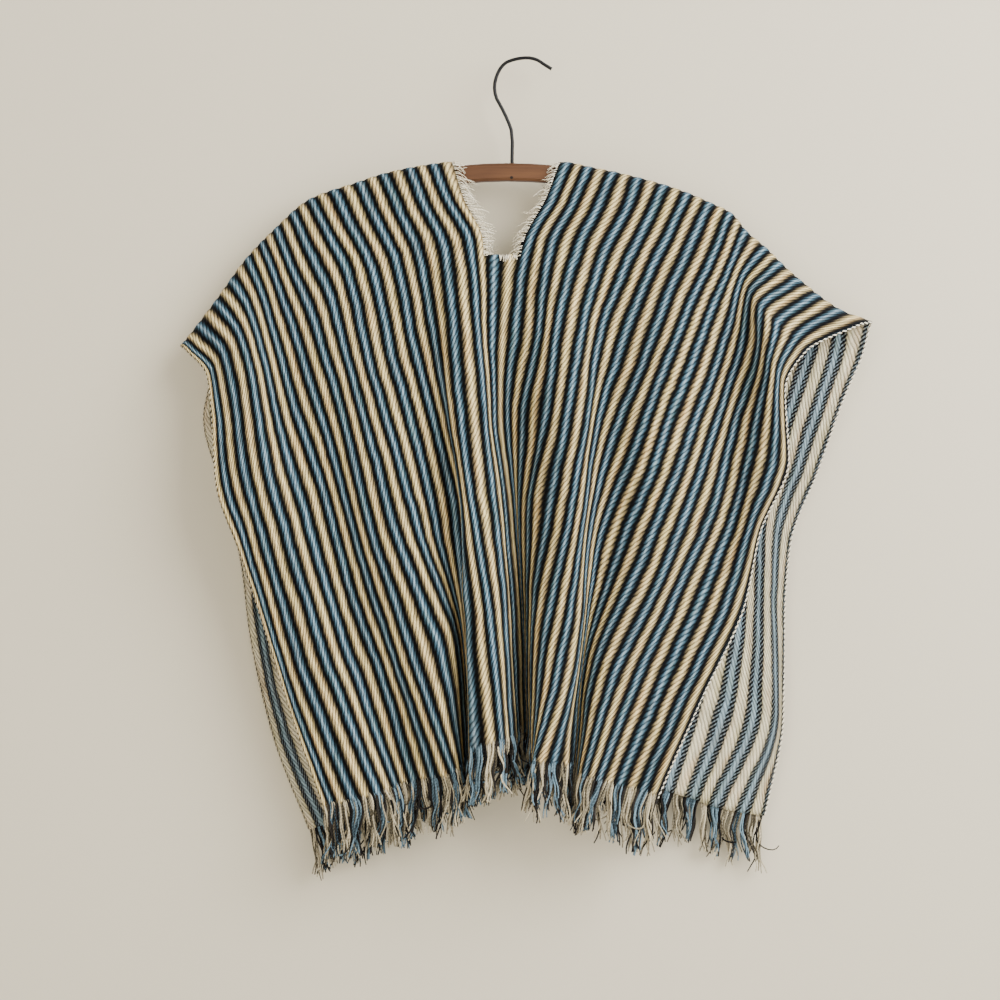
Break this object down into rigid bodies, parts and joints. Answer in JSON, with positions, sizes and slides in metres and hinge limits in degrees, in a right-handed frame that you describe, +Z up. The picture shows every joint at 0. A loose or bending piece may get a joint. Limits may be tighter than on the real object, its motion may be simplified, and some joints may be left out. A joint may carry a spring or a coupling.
{
  "type": "poncho on a wooden hanger with a wire hook",
  "caption": "Striped woven wool poncho with a frayed slot neck and fringed hems, hung over a bowed wooden bar with a bent wire hook.",
  "frame": {"origin": "underside of the hook's crown, where the hanger hangs on a peg", "axes": "+Z up, +X to the viewer's right along the bar, +Y away from the viewer toward the wall"},
  "size_m": [0.6922, 0.0874, 0.8177],
  "materials": {
    "striped_cloth": "warp-striped wool twill in cream, blue and black",
    "hem_yarn": "loose wool warp yarn in cream, blue and black",
    "raw_yarn": "undyed frayed weft yarn",
    "bar_wood": "brown stained wood, satin",
    "hook_wire": "blackened wire, satin"
  },
  "bodies": {
    "root": {"front": "striped_cloth", "back": "striped_cloth", "fringe_front": "hem_yarn", "fringe_back": "hem_yarn", "neck_fringe_left": "raw_yarn", "neck_fringe_right": "raw_yarn", "hanger_bar": "bar_wood", "hanger_hook": "hook_wire"}
  },
  "joints": []
}
